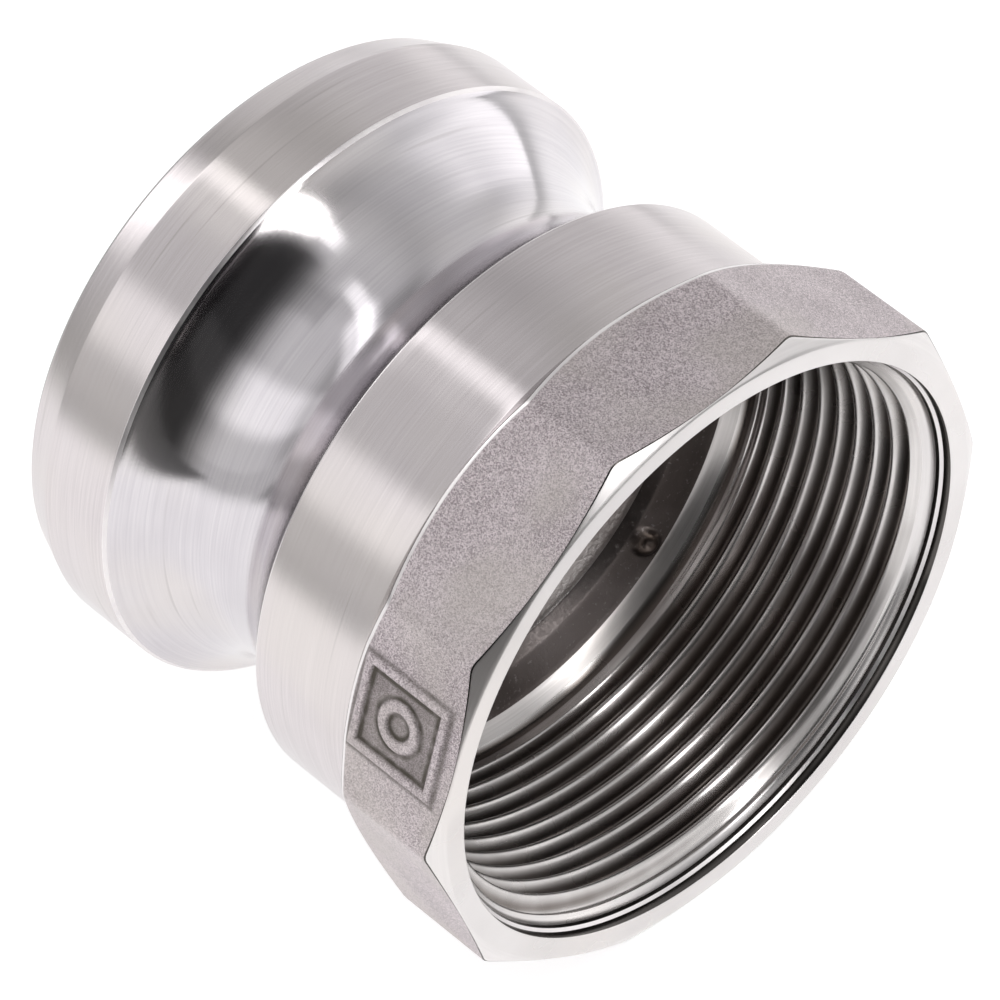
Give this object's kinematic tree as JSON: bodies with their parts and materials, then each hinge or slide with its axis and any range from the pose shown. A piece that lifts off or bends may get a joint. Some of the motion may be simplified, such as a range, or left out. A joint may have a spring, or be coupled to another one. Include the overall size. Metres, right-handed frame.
{
  "type": "camlock coupling",
  "caption": "Stainless cam-groove adapter: grooved cam head at one end, female parallel pipe thread in a flatted wrench section at the other.",
  "frame": {"origin": "on the part's axis, halfway between the mouth face of the thread and the sealing face of the cam head, which is also the centre of the bounding box", "axes": "+X along the part's axis, out of the threaded mouth; +Z square to one wrench flat, so the part lies on the opposite flat; +Y across, through two corners of the ten-sided wrench section"},
  "size_m": [0.058, 0.069, 0.0656],
  "materials": {
    "stainless_steel": "investment cast stainless steel: turned satin on the head, groove, collar, end faces and thread, fine blasted cast grain on the wrench flats and in the bore"
  },
  "bodies": {
    "root": {"adapter_body": "stainless_steel"}
  },
  "joints": []
}
